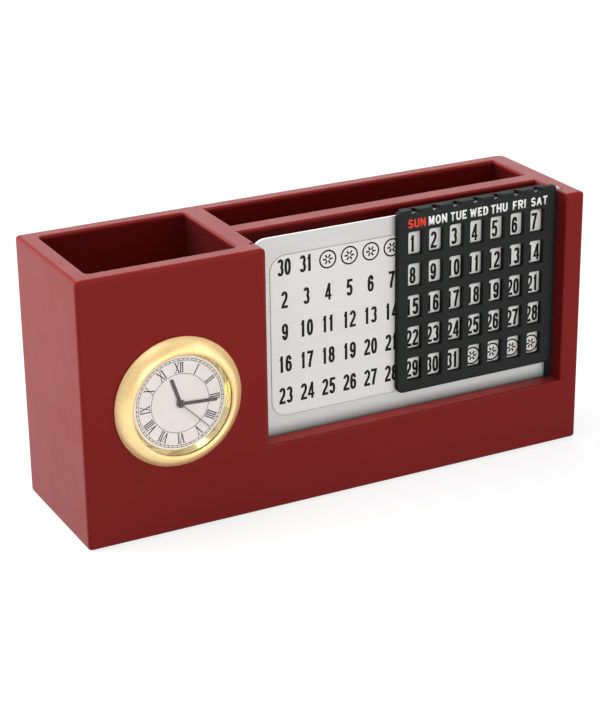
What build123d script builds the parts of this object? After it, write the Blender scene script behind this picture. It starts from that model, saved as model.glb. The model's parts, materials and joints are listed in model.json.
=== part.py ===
"""Desk organiser with a perpetual calendar and an inset clock, in millimetres.

A lacquered wooden case with a pen well on the left and two narrow slots on the right. A steel
date plate drops into two saw grooves in front of the slots, a black frame with windows slides
along it, and a small clock is pushed into a round hole in the front.

Frame: +X to the right, -Y towards the reader, +Z up, origin at the bottom centre of the whole.
"""

import os
from math import cos, pi, radians, sin

from build123d import *

os.makedirs("parts", exist_ok=True)

# ---- Driving dimensions: the case -----------------------------------------------------------
case_width = 203.0
case_depth = 57.0
case_top = 100.0
pad_thick = 0.5
pad_radius = 5.0
pad_inset = 12.0
front_thick = 6.5
left_thick = 6.5
right_thick = 8.0
back_thick = 6.0
base_thick = 6.0
block_width = 71.0
divider_thick = 8.4
partition_thick = 7.4
front_slot_depth = 15.1
rail_top = 25.7
outer_round = 1.4
back_corner_round = 4.0
inner_round = 0.8
recess_round = 2.2
well_corner = 1.8

# ---- Driving dimensions: the calendar -------------------------------------------------------
groove_setback = 0.3
groove_width = 1.6
groove_depth = 3.0
plate_thick = 1.0
plate_rise = 0.9
plate_side_play = 0.4
plate_corner = 5.5
plate_hidden_corner = 2.0
label_thick = 0.12
label_side_gap = 4.3
label_end_gap = 7.1
label_side_margin = 1.02
label_corner = 6.0
date_columns = 13
week_days = 7
week_rows = 5
slider_left_margin = 2.93
slider_right_margin = 3.8
slider_rail_gap = 6.7
slider_rise = 1.85
slider_thick = 2.2
slider_play = 0.35
slider_corner = 2.7
slider_top_corner = 1.3
slider_edge_round = 0.7
hook_play = 0.1
hook_thick = 1.2
hook_rear_thick = 1.2
hook_rear_height = 14.0
window_side_bar = 2.72
window_cross_bar = 3.2
window_lift = 2.45
window_corner = 0.8
window_chamfer = 0.25
notch_radius = 1.45
notch_depth = 2.2
foot_width = 1.5
foot_proud = 0.43
foot_setback = 0.8
foot_top_drop = 1.6
foot_play = 0.4

# ---- Driving dimensions: the clock ----------------------------------------------------------
clock_height = 50.2
bore_radius = 20.6
bezel_overhang = 3.4
bezel_proud = 5.0
bezel_undercut = 0.3
bezel_widest = 0.6
bezel_crest_inset = 4.2
bezel_swell = 0.35
bezel_lip_drop = 0.4
bezel_lip_bulge = 0.75
lens_case_step = 0.7
lens_seat_width = 0.6
lens_thick = 0.8
lens_edge_round = 0.2
clock_fit = 0.1
reveal_depth = 1.9
reveal_width = 1.3
dial_thick = 0.4
dial_hole_radius = 1.4
movement_radius = 16.6
rear_case_length = 8.4
plate_seat_width = 0.5
case_back_thick = 1.1
band_thick = 0.45
band_rib = 0.2
band_start = 1.0
band_width = 4.5
band_ribs = 3
band_rib_share = 0.5
band_fit = 0.05

# ---- Driving dimensions: the movement -------------------------------------------------------
layer_thick = 0.35
layer_gap = 0.25
main_plate_thick = 0.9
train_cover_thick = 0.8
train_cover_play = 0.8
train_height = 3.1
pivot_radius = 0.3
pivot_play = 0.06
pivot_depth = 0.5
seconds_arbor_radius = 0.25
tube_wall = 0.2
hand_thick = 0.25
hand_gap = 0.25
hour_hand_length = 10.0
hour_hand_width = 1.25
minute_hand_length = 13.8
minute_hand_width = 1.15
seconds_hand_length = 14.8
seconds_hand_width = 0.3
seconds_hand_tail = 2.6
seconds_hub_radius = 0.7
hand_hub_radius = 1.45
hour_angle = -18.0
minute_angle = 93.5
seconds_angle = 135.5
going_module = 0.16
step_module = 0.12
motion_module = 0.24
# Shares of the module and of the tooth pitch that shape every wheel's teeth.
tooth_addendum = 0.75
tooth_dedendum = 1.1
tooth_tip_share = 0.17
tooth_pitch_share = 0.36
tooth_root_share = 0.46
centre_teeth = 60
third_pinion_teeth = 8
third_teeth = 64
seconds_pinion_teeth = 8
seconds_teeth = 60
step_pinion_teeth = 10
step_teeth = 50
rotor_pinion_teeth = 10
cannon_teeth = 12
minute_teeth = 36
minute_pinion_teeth = 10
hour_teeth = 40
third_bearing = 150.0
step_bearing = 20.0
setting_bearing = -90.0
setting_arbor_radius = 0.45
setting_knob_radius = 2.6
setting_knob_length = 2.0
setting_knob_flutes = 18
setting_flute_radius = 0.25
knob_gap = 0.3
knob_edge_round = 0.3
magnet_radius = 1.5
magnet_height = 1.3
cell_radius = 5.8
cell_height = 2.1
cell_height_above_axis = 7.4
screw_margin = 1.8
screw_bearings = (100.0, 190.0, 350.0)
screw_radius = 0.5
screw_head_radius = 1.0
screw_head_height = 0.6
post_radius = 1.3
screw_length = 1.8
screw_slot = 0.3
plate_rim = 1.4
stud_radius = 0.6
stud_z = -3.0
stator_inner_reach = 2.96
stator_outer_reach = 2.14
stator_upper_reach = 3.4
stator_leg = 1.4
magnet_gap = 0.3
crossbar_z = -9.3
core_left = -8.0
core_thick = 0.5
core_width = 1.6
coil_z = -11.2
coil_radius = 1.4
coil_winding_radius = 1.15
coil_flange = 0.25
coil_end_gap = 0.3
board_thick = 0.6
board_left = -12.0
board_right = -1.5
board_bottom = -9.0
board_top = 0.5
board_margin = 1.0
can_radius = 0.75
can_length = 5.0
chip_side = 3.0
chip_thick = 0.8
cell_round = 0.25
clip_gap = 0.8
clip_thick = 0.2
clip_width = 3.0

# ---- Places worked out from the driving dimensions ------------------------------------------
left_x = -case_width / 2
right_x = case_width / 2
front_y = -(case_depth - bezel_proud) / 2
back_y = front_y + case_depth
case_bottom = pad_thick
base_top = case_bottom + base_thick
front_inner_y = front_y + front_thick
back_inner_y = back_y - back_thick
well_left = left_x + left_thick
block_right = left_x + block_width
well_right = block_right - divider_thick
slots_right = right_x - right_thick
partition_front = front_inner_y + front_slot_depth
partition_back = partition_front + partition_thick

plate_top = case_top + plate_rise
label_width = slots_right - block_right - 2 * label_side_gap
label_height = plate_top - rail_top - 2 * label_end_gap
label_centre_z = (plate_top + rail_top) / 2
column_pitch = (label_width - 2 * label_side_margin) / date_columns
row_pitch = label_height / week_rows
slider_top = plate_top + slider_rise
slider_bottom = rail_top + slider_rail_gap
window_width = column_pitch - window_side_bar
window_height = row_pitch - window_cross_bar
windows_centre_z = label_centre_z + window_lift
groove_front = front_inner_y + groove_setback
groove_back = groove_front + groove_width
calendar_centre = (block_right + slots_right) / 2
plate_width = slots_right - block_right + 2 * (groove_depth - plate_side_play)
plate_front = groove_front + (groove_width - plate_thick) / 2
plate_back = plate_front + plate_thick
slider_back = plate_front - label_thick - slider_play
slider_front = slider_back - slider_thick
slider_centre = calendar_centre + (date_columns - week_days) / 2 * column_pitch
slider_left = slider_centre - week_days / 2 * column_pitch - slider_left_margin
slider_right = slider_centre + week_days / 2 * column_pitch + slider_right_margin
hook_bottom = plate_top + hook_play
hook_rear_front = plate_back + slider_play
hook_rear_back = hook_rear_front + hook_rear_thick

clock_x = left_x + block_width / 2
clock_z = clock_height
bezel_radius = bore_radius + bezel_overhang
rear_case_radius = bore_radius - band_fit - band_rib - band_thick
lens_radius = rear_case_radius - lens_case_step
glass_radius = lens_radius - lens_seat_width


def block(x0, x1, y0, y1, z0, z1, mode=Mode.ADD):
    """A square block between two corners, added to or cut from the part in hand."""
    with Locations(((x0 + x1) / 2, (y0 + y1) / 2, (z0 + z1) / 2)):
        Box(x1 - x0, y1 - y0, z1 - z0, mode=mode)


def clock_plane(depth, turn=0.0, centre=(0.0, 0.0)):
    """A plane across the clock's axis, its normal pointing into the case; turn is clockwise."""
    origin = (clock_x + centre[0], front_y + depth, clock_z + centre[1])
    sideways = (cos(radians(turn)), 0, -sin(radians(turn)))
    return Plane(origin=origin, x_dir=sideways, z_dir=(0, 1, 0))


def profile_plane(centre=(0.0, 0.0)):
    """The plane of a turned profile: radius along X, depth into the case along Y."""
    origin = (clock_x + centre[0], front_y, clock_z + centre[1])
    return Plane(origin=origin, x_dir=(1, 0, 0), z_dir=(0, 0, 1))


def turning_axis(centre=(0.0, 0.0)):
    """The clock's own axis, or one beside it."""
    return Axis((clock_x + centre[0], front_y, clock_z + centre[1]), (0, 1, 0))


def polar(distance, bearing):
    """A point at a distance and bearing from the clock's axis, as (x, z)."""
    return (distance * cos(radians(bearing)), distance * sin(radians(bearing)))


def ring(inner, outer, start, end, centre=(0.0, 0.0), mode=Mode.ADD):
    """A disc, ring or tube about an arbor, from one depth to another."""
    with BuildSketch(clock_plane(start, centre=centre)) as section:
        Circle(outer)
        if inner > 0:
            Circle(inner, mode=Mode.SUBTRACT)
    extrude(section.sketch, amount=end - start, mode=mode)


def toothed_outline(teeth, module):
    """The outline of a spur wheel with one tooth pointing along the plane's X."""
    pitch_radius = teeth * module / 2
    levels = (
        (pitch_radius - tooth_dedendum * module, tooth_root_share),
        (pitch_radius, tooth_pitch_share),
        (pitch_radius + tooth_addendum * module, tooth_tip_share),
    )
    points = []
    for tooth in range(teeth):
        middle = 2 * pi * tooth / teeth
        for radius, share in levels:
            angle = middle - pi * share / teeth
            points.append((radius * cos(angle), radius * sin(angle)))
        for radius, share in reversed(levels):
            angle = middle + pi * share / teeth
            points.append((radius * cos(angle), radius * sin(angle)))
    with BuildLine() as outline:
        Polyline(*points, close=True)
    make_face(outline.edges())


def toothed_disc(teeth, module, start, towards, gap_first, centre=(0.0, 0.0)):
    """A toothed disc one layer thick, with a tooth or a gap facing a bearing.

    The plane turns clockwise seen from the front, so a bearing counted the other way is negated.
    """
    half_tooth = 180.0 / teeth if gap_first else 0.0
    with BuildSketch(clock_plane(start, turn=-towards + half_tooth, centre=centre)) as section:
        toothed_outline(teeth, module)
    extrude(section.sketch, amount=layer_thick)


# ==== Wooden case ============================================================================
# The case is glued up from boards, and its edges are rounded after gluing, so the rounded form
# is made once and each board is the share of it that the board fills.


def is_rim(edge):
    """True on the edges where the wells, the slots and the recess open through a face."""
    near = 1e-3
    middle = edge.center()
    on_top = abs(middle.Z - case_top) < near and well_left - near < middle.X < slots_right + near
    inside = front_y + outer_round < middle.Y < back_inner_y + near
    in_recess = block_right - near < middle.X < slots_right + near and middle.Z > rail_top - near
    on_front = abs(middle.Y - front_y) < near
    return (on_top and inside) or (on_front and in_recess)


def is_left_square(edge):
    """True on every edge of the rounded block but the two upright seams of its large rounding."""
    middle = edge.center()
    upright = abs(middle.Z - (case_bottom + case_top) / 2) < 1e-3
    at_large_rounding = middle.X > right_x - 2 * back_corner_round and middle.Y > front_y + front_thick
    return not (upright and at_large_rounding)


def is_clock_side_of_recess(edge):
    """True on the upright edge between the front and the recess, on the clock's side."""
    near = 1e-3
    middle = edge.center()
    return abs(middle.Y - front_y) < near and abs(middle.X - block_right) < near


with BuildPart() as case_form:
    block(left_x, right_x, front_y, back_y, case_bottom, case_top)
    upright_edges = case_form.edges().filter_by(Axis.Z)
    fillet(upright_edges.sort_by_distance((right_x, back_y, case_top))[0], back_corner_round)
    fillet(case_form.edges().filter_by(is_left_square), outer_round)
    with BuildSketch(Plane.XY.offset(base_top)):
        with Locations(((well_left + well_right) / 2, (front_inner_y + back_inner_y) / 2)):
            RectangleRounded(well_right - well_left, back_inner_y - front_inner_y, well_corner)
    extrude(amount=case_top - base_top, mode=Mode.SUBTRACT)
    block(block_right, slots_right, partition_back, back_inner_y, base_top, case_top, Mode.SUBTRACT)
    block(block_right, slots_right, front_inner_y, partition_front, base_top, case_top, Mode.SUBTRACT)
    block(block_right, slots_right, front_y, front_inner_y, rail_top, case_top, Mode.SUBTRACT)
    fillet(case_form.edges().filter_by(is_clock_side_of_recess), recess_round)
    fillet(case_form.edges().filter_by(is_rim), inner_round)
    block(block_right - groove_depth, slots_right + groove_depth, groove_front, groove_back,
          base_top, case_top, Mode.SUBTRACT)
    ring(0, bore_radius, 0, front_thick, mode=Mode.SUBTRACT)


def board(x0, x1, y0, y1, z0, z1):
    """The share of the rounded case between two corners. The well's rounded corners go with the
    boards on its left and right."""
    add(case_form.part)
    block(x0, x1, y0, y1, z0, z1, Mode.INTERSECT)


with BuildPart() as base_panel:
    board(well_left, slots_right, front_inner_y, back_inner_y, case_bottom, base_top)
base_panel.part.label = "base_panel"
export_step(base_panel.part, "parts/base_panel.step")

with BuildPart() as clock_panel:
    board(left_x, block_right, front_y, front_inner_y, case_bottom, case_top)
clock_panel.part.label = "clock_panel"
export_step(clock_panel.part, "parts/clock_panel.step")

with BuildPart() as front_rail:
    board(block_right, slots_right, front_y, front_inner_y, case_bottom, case_top)
front_rail.part.label = "front_rail"
export_step(front_rail.part, "parts/front_rail.step")

with BuildPart() as left_side_panel:
    corner_x = well_left + well_corner
    board(left_x, corner_x, front_inner_y, back_y, case_bottom, case_top)
    block(well_left, corner_x, front_inner_y, back_y, case_bottom, base_top, Mode.SUBTRACT)
    block(well_left, corner_x, back_inner_y, back_y, base_top, case_top, Mode.SUBTRACT)
left_side_panel.part.label = "left_side_panel"
export_step(left_side_panel.part, "parts/left_side_panel.step")

with BuildPart() as right_side_panel:
    board(slots_right, right_x, front_y, back_y, case_bottom, case_top)
right_side_panel.part.label = "right_side_panel"
export_step(right_side_panel.part, "parts/right_side_panel.step")

with BuildPart() as back_panel:
    board(well_left, slots_right, back_inner_y, back_y, case_bottom, case_top)
back_panel.part.label = "back_panel"
export_step(back_panel.part, "parts/back_panel.step")

with BuildPart() as well_divider:
    board(well_right - well_corner, block_right, front_inner_y, back_inner_y, base_top, case_top)
well_divider.part.label = "well_divider"
export_step(well_divider.part, "parts/well_divider.step")

with BuildPart() as slot_partition:
    board(block_right, slots_right, partition_front, partition_back, base_top, case_top)
slot_partition.part.label = "slot_partition"
export_step(slot_partition.part, "parts/slot_partition.step")

pad_x = case_width / 2 - pad_inset
pad_y = case_depth / 2 - pad_inset
with BuildPart() as felt_pads:
    with BuildSketch(Plane((0, (front_y + back_y) / 2, 0))):
        with GridLocations(2 * pad_x, 2 * pad_y, 2, 2):
            Circle(pad_radius)
    extrude(amount=pad_thick)
felt_pads.part.label = "felt_pads"
export_step(felt_pads.part, "parts/felt_pads.step")

# ==== Calendar ===============================================================================

with BuildPart() as date_plate:
    with BuildSketch(Plane.XZ.offset(-plate_back)) as section:
        with Locations((calendar_centre, (base_top + plate_top) / 2)):
            Rectangle(plate_width, plate_top - base_top)
        bottom_corners, top_corners = section.vertices().group_by(Axis.Y)
        fillet([*bottom_corners, top_corners.sort_by(Axis.X)[-1]], plate_hidden_corner)
        fillet(section.vertices().group_by(Axis.Y)[-1].sort_by(Axis.X)[0], plate_corner)
    extrude(amount=plate_thick)
date_plate.part.label = "date_plate"
export_step(date_plate.part, "parts/date_plate.step")

with BuildPart() as date_label:
    with BuildSketch(Plane.XZ.offset(-plate_front)):
        with Locations((calendar_centre, label_centre_z)):
            RectangleRounded(label_width, label_height, label_corner)
    extrude(amount=label_thick)
date_label.part.label = "date_label"
export_step(date_label.part, "parts/date_label.step")

with BuildPart() as week_frame:
    with BuildSketch(Plane.XZ.offset(-slider_back)) as section:
        with Locations(((slider_left + slider_right) / 2, (slider_bottom + slider_top) / 2)):
            Rectangle(slider_right - slider_left, slider_top - slider_bottom)
        fillet(section.vertices().group_by(Axis.Y)[0], slider_corner)
        fillet(section.vertices().group_by(Axis.Y)[-1], slider_top_corner)
        with Locations((slider_centre, slider_top)):
            with GridLocations(column_pitch, row_pitch, week_days, 1):
                SlotOverall(2 * notch_depth, 2 * notch_radius, rotation=90, mode=Mode.SUBTRACT)
    extrude(amount=slider_thick)
    front_rim = week_frame.faces().sort_by(Axis.Y)[0].edges()
    fillet(front_rim, slider_edge_round)
    with BuildSketch(Plane.XZ.offset(-slider_back)):
        with Locations((slider_centre, windows_centre_z)):
            with GridLocations(column_pitch, row_pitch, week_days, week_rows):
                RectangleRounded(window_width, window_height, window_corner)
    extrude(amount=slider_thick, mode=Mode.SUBTRACT)
    window_rims = week_frame.faces().sort_by(Axis.Y)[0].inner_wires()
    chamfer([edge for rim in window_rims for edge in rim.edges()], window_chamfer)
    hook_left = slider_left + slider_corner
    hook_right = slider_right - slider_corner
    block(hook_left, hook_right, slider_back, hook_rear_back, hook_bottom, hook_bottom + hook_thick)
    block(hook_left, hook_right, hook_rear_front, hook_rear_back,
          hook_bottom - hook_rear_height, hook_bottom)
    with Locations((slider_centre, (slider_back + hook_rear_front) / 2, hook_bottom + hook_thick / 2)):
        with GridLocations(column_pitch, row_pitch, week_days, 1):
            Box(2 * notch_radius, hook_rear_front - slider_back, hook_thick, mode=Mode.SUBTRACT)
    block(slider_right - foot_width, slider_right + foot_proud, slider_front + foot_setback, slider_back,
          rail_top + foot_play, slider_top - foot_top_drop)
week_frame.part.label = "week_frame"
export_step(week_frame.part, "parts/week_frame.step")

# ==== Clock: glass, rings and dial ===========================================================
# Depths are counted from the case's front face, and those in front of it are negative.

bezel_seat_radius = bezel_radius - bezel_undercut
bezel_crest_radius = bezel_radius - bezel_crest_inset
bezel_lip_depth = bezel_lip_drop - bezel_proud
lens_front = bezel_lip_depth + clock_fit
lens_back = lens_front + lens_thick
dial_front = lens_back + reveal_depth
dial_back = dial_front + dial_thick
reveal_outer_radius = lens_radius - clock_fit
reveal_inner_radius = glass_radius - reveal_width

with BuildPart() as clock_bezel:
    with BuildSketch(profile_plane()):
        with BuildLine():
            slope_radius = (bezel_radius + bezel_crest_radius) / 2 + bezel_swell
            slope_depth = -(bezel_widest + bezel_proud) / 2 - bezel_swell
            lip_radius = (bezel_crest_radius + glass_radius) / 2
            lip_swell_depth = bezel_lip_depth - bezel_lip_drop * bezel_lip_bulge
            Polyline((glass_radius, lens_front), (lens_radius + clock_fit, lens_front),
                     (lens_radius + clock_fit, 0), (bezel_seat_radius, 0))
            Line((bezel_seat_radius, 0), (bezel_radius, -bezel_widest))
            ThreePointArc((bezel_radius, -bezel_widest), (slope_radius, slope_depth),
                          (bezel_crest_radius, -bezel_proud))
            ThreePointArc((bezel_crest_radius, -bezel_proud), (lip_radius, lip_swell_depth),
                          (glass_radius, bezel_lip_depth))
            Line((glass_radius, bezel_lip_depth), (glass_radius, lens_front))
        make_face()
    revolve(axis=turning_axis())
clock_bezel.part.label = "clock_bezel"
export_step(clock_bezel.part, "parts/clock_bezel.step")

with BuildPart() as clock_lens:
    ring(0, lens_radius, lens_front, lens_back)
    fillet(clock_lens.edges().sort_by(Axis.Y)[0], lens_edge_round)
clock_lens.part.label = "clock_lens"
export_step(clock_lens.part, "parts/clock_lens.step")

with BuildPart() as reveal_ring:
    with BuildSketch(profile_plane()):
        with BuildLine():
            Polyline((glass_radius, lens_back), (reveal_outer_radius, lens_back),
                     (reveal_outer_radius, dial_front), (reveal_inner_radius, dial_front),
                     close=True)
        make_face()
    revolve(axis=turning_axis())
reveal_ring.part.label = "reveal_ring"
export_step(reveal_ring.part, "parts/reveal_ring.step")

with BuildPart() as clock_dial:
    ring(dial_hole_radius, reveal_outer_radius, dial_front, dial_back)
clock_dial.part.label = "clock_dial"
export_step(clock_dial.part, "parts/clock_dial.step")

# ==== Clock: rear case =======================================================================

rear_case_back = rear_case_length + case_back_thick
plate_seat_radius = movement_radius + plate_seat_width

with BuildPart() as rear_case:
    ring(plate_seat_radius, lens_radius, dial_back, 0)
    ring(plate_seat_radius, rear_case_radius, 0, main_plate_thick)
    ring(movement_radius, rear_case_radius, main_plate_thick, rear_case_length)
rear_case.part.label = "rear_case"
export_step(rear_case.part, "parts/rear_case.step")

with BuildPart() as grip_band:
    ring(rear_case_radius, rear_case_radius + band_thick, band_start, band_start + band_width)
    rib_pitch = band_width / band_ribs
    rib_width = rib_pitch * band_rib_share
    for rib in range(band_ribs):
        rib_start = band_start + rib * rib_pitch + (rib_pitch - rib_width) / 2
        ring(rear_case_radius, rear_case_radius + band_thick + band_rib,
             rib_start, rib_start + rib_width)
grip_band.part.label = "grip_band"
export_step(grip_band.part, "parts/grip_band.step")

# ==== Clock: places of the movement's arbors and layers ======================================

centre_distance = going_module * (centre_teeth + third_pinion_teeth) / 2
seconds_module = 2 * centre_distance / (third_teeth + seconds_pinion_teeth)
step_distance = going_module * (seconds_teeth + step_pinion_teeth) / 2
rotor_distance = step_module * (step_teeth + rotor_pinion_teeth) / 2
setting_distance = motion_module * (cannon_teeth + minute_teeth) / 2
hour_module = 2 * setting_distance / (minute_pinion_teeth + hour_teeth)

third_arbor = polar(centre_distance, third_bearing)
step_arbor = polar(step_distance, step_bearing)
rotor_arbor = (step_arbor[0] + rotor_distance, step_arbor[1])
setting_arbor = polar(setting_distance, setting_bearing)

layer_pitch = layer_thick + layer_gap
hour_layer = dial_back + layer_gap
minute_layer = hour_layer + layer_pitch
centre_layer = main_plate_thick + layer_gap
third_layer = centre_layer + layer_pitch
seconds_layer = third_layer + layer_pitch
step_layer = seconds_layer + layer_pitch
cover_front = main_plate_thick + train_height
cover_back = cover_front + train_cover_thick
pivot_front = main_plate_thick - pivot_depth
pivot_back = cover_back - pivot_play

centre_tube_inner = seconds_arbor_radius + pivot_play
centre_tube_outer = centre_tube_inner + tube_wall
cannon_inner = centre_tube_outer + pivot_play
cannon_outer = cannon_inner + tube_wall
hour_tube_inner = cannon_outer + pivot_play
hour_tube_outer = hour_tube_inner + tube_wall

hour_hand_front = dial_front - hand_gap - hand_thick
minute_hand_front = hour_hand_front - hand_gap - hand_thick
seconds_hand_front = minute_hand_front - hand_gap - hand_thick

# ==== Clock: hands and motion work ===========================================================


def straight_hand(length, width, tail, hub_radius, bore_radius, front, angle):
    """A straight hand with a round tip, turned clockwise from twelve by its angle."""
    with BuildSketch(clock_plane(front, turn=angle)) as section:
        with Locations((0, -(length - width / 2 - tail) / 2)):
            Rectangle(width, length - width / 2 + tail)
        with Locations((0, -(length - width / 2))):
            Circle(width / 2)
        Circle(hub_radius)
        Circle(bore_radius, mode=Mode.SUBTRACT)
    extrude(section.sketch, amount=hand_thick)


with BuildPart() as hour_hand:
    straight_hand(hour_hand_length, hour_hand_width, 0, hand_hub_radius, hour_tube_outer,
                  hour_hand_front, hour_angle)
hour_hand.part.label = "hour_hand"
export_step(hour_hand.part, "parts/hour_hand.step")

with BuildPart() as hour_wheel:
    toothed_disc(hour_teeth, hour_module, hour_layer, setting_bearing, gap_first=False)
    ring(0, hour_tube_outer, hour_hand_front, hour_layer)
    ring(0, hour_tube_inner, hour_hand_front, hour_layer + layer_thick, mode=Mode.SUBTRACT)
hour_wheel.part.label = "hour_wheel"
export_step(hour_wheel.part, "parts/hour_wheel.step")

with BuildPart() as minute_hand:
    straight_hand(minute_hand_length, minute_hand_width, 0, hand_hub_radius, cannon_outer,
                  minute_hand_front, minute_angle)
minute_hand.part.label = "minute_hand"
export_step(minute_hand.part, "parts/minute_hand.step")

with BuildPart() as cannon_pinion:
    toothed_disc(cannon_teeth, motion_module, minute_layer, setting_bearing, gap_first=True)
    ring(0, cannon_outer, minute_hand_front, minute_layer)
    ring(0, cannon_inner, minute_hand_front, minute_layer + layer_thick, mode=Mode.SUBTRACT)
cannon_pinion.part.label = "cannon_pinion"
export_step(cannon_pinion.part, "parts/cannon_pinion.step")

with BuildPart() as setting_wheel:
    towards_centre = setting_bearing + 180
    toothed_disc(minute_teeth, motion_module, minute_layer, towards_centre, False, setting_arbor)
    toothed_disc(minute_pinion_teeth, hour_module, hour_layer, towards_centre, True, setting_arbor)
    ring(0, setting_arbor_radius, hour_layer, rear_case_back + knob_gap, setting_arbor)
setting_wheel.part.label = "setting_wheel"
export_step(setting_wheel.part, "parts/setting_wheel.step")

with BuildPart() as setting_knob:
    knob_front = rear_case_back + knob_gap
    ring(0, setting_knob_radius, knob_front, knob_front + setting_knob_length, setting_arbor)
    fillet(setting_knob.edges().sort_by(Axis.Y)[-1], knob_edge_round)
    with BuildSketch(clock_plane(knob_front, centre=setting_arbor)):
        with PolarLocations(setting_knob_radius, setting_knob_flutes):
            Circle(setting_flute_radius)
    extrude(amount=setting_knob_length, mode=Mode.SUBTRACT)
setting_knob.part.label = "setting_knob"
export_step(setting_knob.part, "parts/setting_knob.step")

# ==== Clock: going train =====================================================================

with BuildPart() as centre_wheel:
    toothed_disc(centre_teeth, going_module, centre_layer, third_bearing, gap_first=False)
    ring(0, centre_tube_outer, hour_hand_front, centre_layer)
    ring(0, centre_tube_inner, hour_hand_front, centre_layer + layer_thick, mode=Mode.SUBTRACT)
centre_wheel.part.label = "centre_wheel"
export_step(centre_wheel.part, "parts/centre_wheel.step")

with BuildPart() as third_wheel:
    towards_centre = third_bearing + 180
    toothed_disc(third_pinion_teeth, going_module, centre_layer, towards_centre, True, third_arbor)
    toothed_disc(third_teeth, seconds_module, third_layer, towards_centre, False, third_arbor)
    ring(0, pivot_radius, pivot_front, pivot_back, third_arbor)
third_wheel.part.label = "third_wheel"
export_step(third_wheel.part, "parts/third_wheel.step")

with BuildPart() as seconds_wheel:
    toothed_disc(seconds_pinion_teeth, seconds_module, third_layer, third_bearing, gap_first=True)
    toothed_disc(seconds_teeth, going_module, seconds_layer, step_bearing, gap_first=False)
    ring(0, seconds_arbor_radius, seconds_hand_front, pivot_back)
seconds_wheel.part.label = "seconds_wheel"
export_step(seconds_wheel.part, "parts/seconds_wheel.step")

with BuildPart() as seconds_hand:
    straight_hand(seconds_hand_length, seconds_hand_width, seconds_hand_tail, seconds_hub_radius,
                  seconds_arbor_radius, seconds_hand_front, seconds_angle)
seconds_hand.part.label = "seconds_hand"
export_step(seconds_hand.part, "parts/seconds_hand.step")

with BuildPart() as step_wheel:
    towards_centre = step_bearing + 180
    toothed_disc(step_pinion_teeth, going_module, seconds_layer, towards_centre, True, step_arbor)
    toothed_disc(step_teeth, step_module, step_layer, 0, False, step_arbor)
    ring(0, pivot_radius, pivot_front, pivot_back, step_arbor)
step_wheel.part.label = "step_wheel"
export_step(step_wheel.part, "parts/step_wheel.step")

magnet_front = centre_layer + layer_gap
with BuildPart() as rotor_pinion:
    toothed_disc(rotor_pinion_teeth, step_module, step_layer, 180, True, rotor_arbor)
    ring(0, pivot_radius, pivot_front, pivot_back, rotor_arbor)
rotor_pinion.part.label = "rotor_pinion"
export_step(rotor_pinion.part, "parts/rotor_pinion.step")

with BuildPart() as rotor_magnet:
    ring(pivot_radius, magnet_radius, magnet_front, magnet_front + magnet_height, rotor_arbor)
rotor_magnet.part.label = "rotor_magnet"
export_step(rotor_magnet.part, "parts/rotor_magnet.step")

# ==== Clock: plates of the movement ==========================================================

train_cover_radius = movement_radius - train_cover_play
screw_circle = train_cover_radius - screw_margin
screw_places = [polar(screw_circle, bearing) for bearing in screw_bearings]
main_plate_radius = plate_seat_radius - clock_fit
stator_left = rotor_arbor[0] - stator_inner_reach
stator_right = rotor_arbor[0] + stator_outer_reach
stator_front = third_layer
stator_back = stator_front + layer_thick
stud_places = [(stator_left + stator_leg / 2, stud_z), (stator_right - stator_leg / 2, stud_z)]

with BuildPart() as main_plate:
    ring(0, main_plate_radius, 0, main_plate_thick)
    ring(main_plate_radius - plate_rim, main_plate_radius, dial_back, 0)
    for place in screw_places:
        ring(0, post_radius, main_plate_thick, cover_front, place)
        ring(0, screw_radius, cover_front - screw_length, cover_front, place, Mode.SUBTRACT)
    for place in stud_places:
        ring(0, stud_radius, main_plate_thick, stator_front, place)
    ring(0, centre_tube_outer + pivot_play, 0, main_plate_thick, mode=Mode.SUBTRACT)
    ring(0, setting_arbor_radius + pivot_play, 0, main_plate_thick, setting_arbor, Mode.SUBTRACT)
    for place in (third_arbor, step_arbor, rotor_arbor):
        ring(0, pivot_radius + pivot_play, pivot_front - pivot_play, main_plate_thick, place,
             Mode.SUBTRACT)
main_plate.part.label = "main_plate"
export_step(main_plate.part, "parts/main_plate.step")

with BuildPart() as train_cover:
    ring(0, train_cover_radius, cover_front, cover_back)
    for place in screw_places:
        ring(0, screw_radius + pivot_play, cover_front, cover_back, place, Mode.SUBTRACT)
    for place in (third_arbor, step_arbor, rotor_arbor, (0.0, 0.0)):
        ring(0, pivot_radius + pivot_play, cover_front, cover_back, place, Mode.SUBTRACT)
    ring(0, setting_arbor_radius + pivot_play, cover_front, cover_back, setting_arbor,
         Mode.SUBTRACT)
train_cover.part.label = "train_cover"
export_step(train_cover.part, "parts/train_cover.step")

with BuildPart() as cover_screws:
    for place in screw_places:
        ring(0, screw_radius, cover_front - screw_length, cover_back, place)
        ring(0, screw_head_radius, cover_back, cover_back + screw_head_height, place)
        with Locations((clock_x + place[0], front_y + cover_back + screw_head_height,
                        clock_z + place[1])):
            Box(2 * screw_head_radius, screw_head_height, screw_slot, mode=Mode.SUBTRACT)
cover_screws.part.label = "cover_screws"
export_step(cover_screws.part, "parts/cover_screws.step")

with BuildPart() as case_back:
    ring(0, rear_case_radius, rear_case_length, rear_case_back)
    ring(0, setting_arbor_radius + pivot_play, rear_case_length, rear_case_back, setting_arbor,
         Mode.SUBTRACT)
    fillet(case_back.edges().sort_by(Axis.Y)[-2:].sort_by(SortBy.LENGTH)[-1], knob_edge_round)
case_back.part.label = "case_back"
export_step(case_back.part, "parts/case_back.step")

# ==== Clock: stepping motor, circuit and cell ================================================


def movement_block(x0, x1, start, end, z0, z1, mode=Mode.ADD):
    """A square block placed from the clock's axis, between two depths."""
    block(clock_x + x0, clock_x + x1, front_y + start, front_y + end, clock_z + z0, clock_z + z1,
          mode)


core_back = stator_back + core_thick
core_middle = (stator_back + core_back) / 2
core_top = coil_z + core_width / 2
core_bottom = coil_z - core_width / 2

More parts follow.
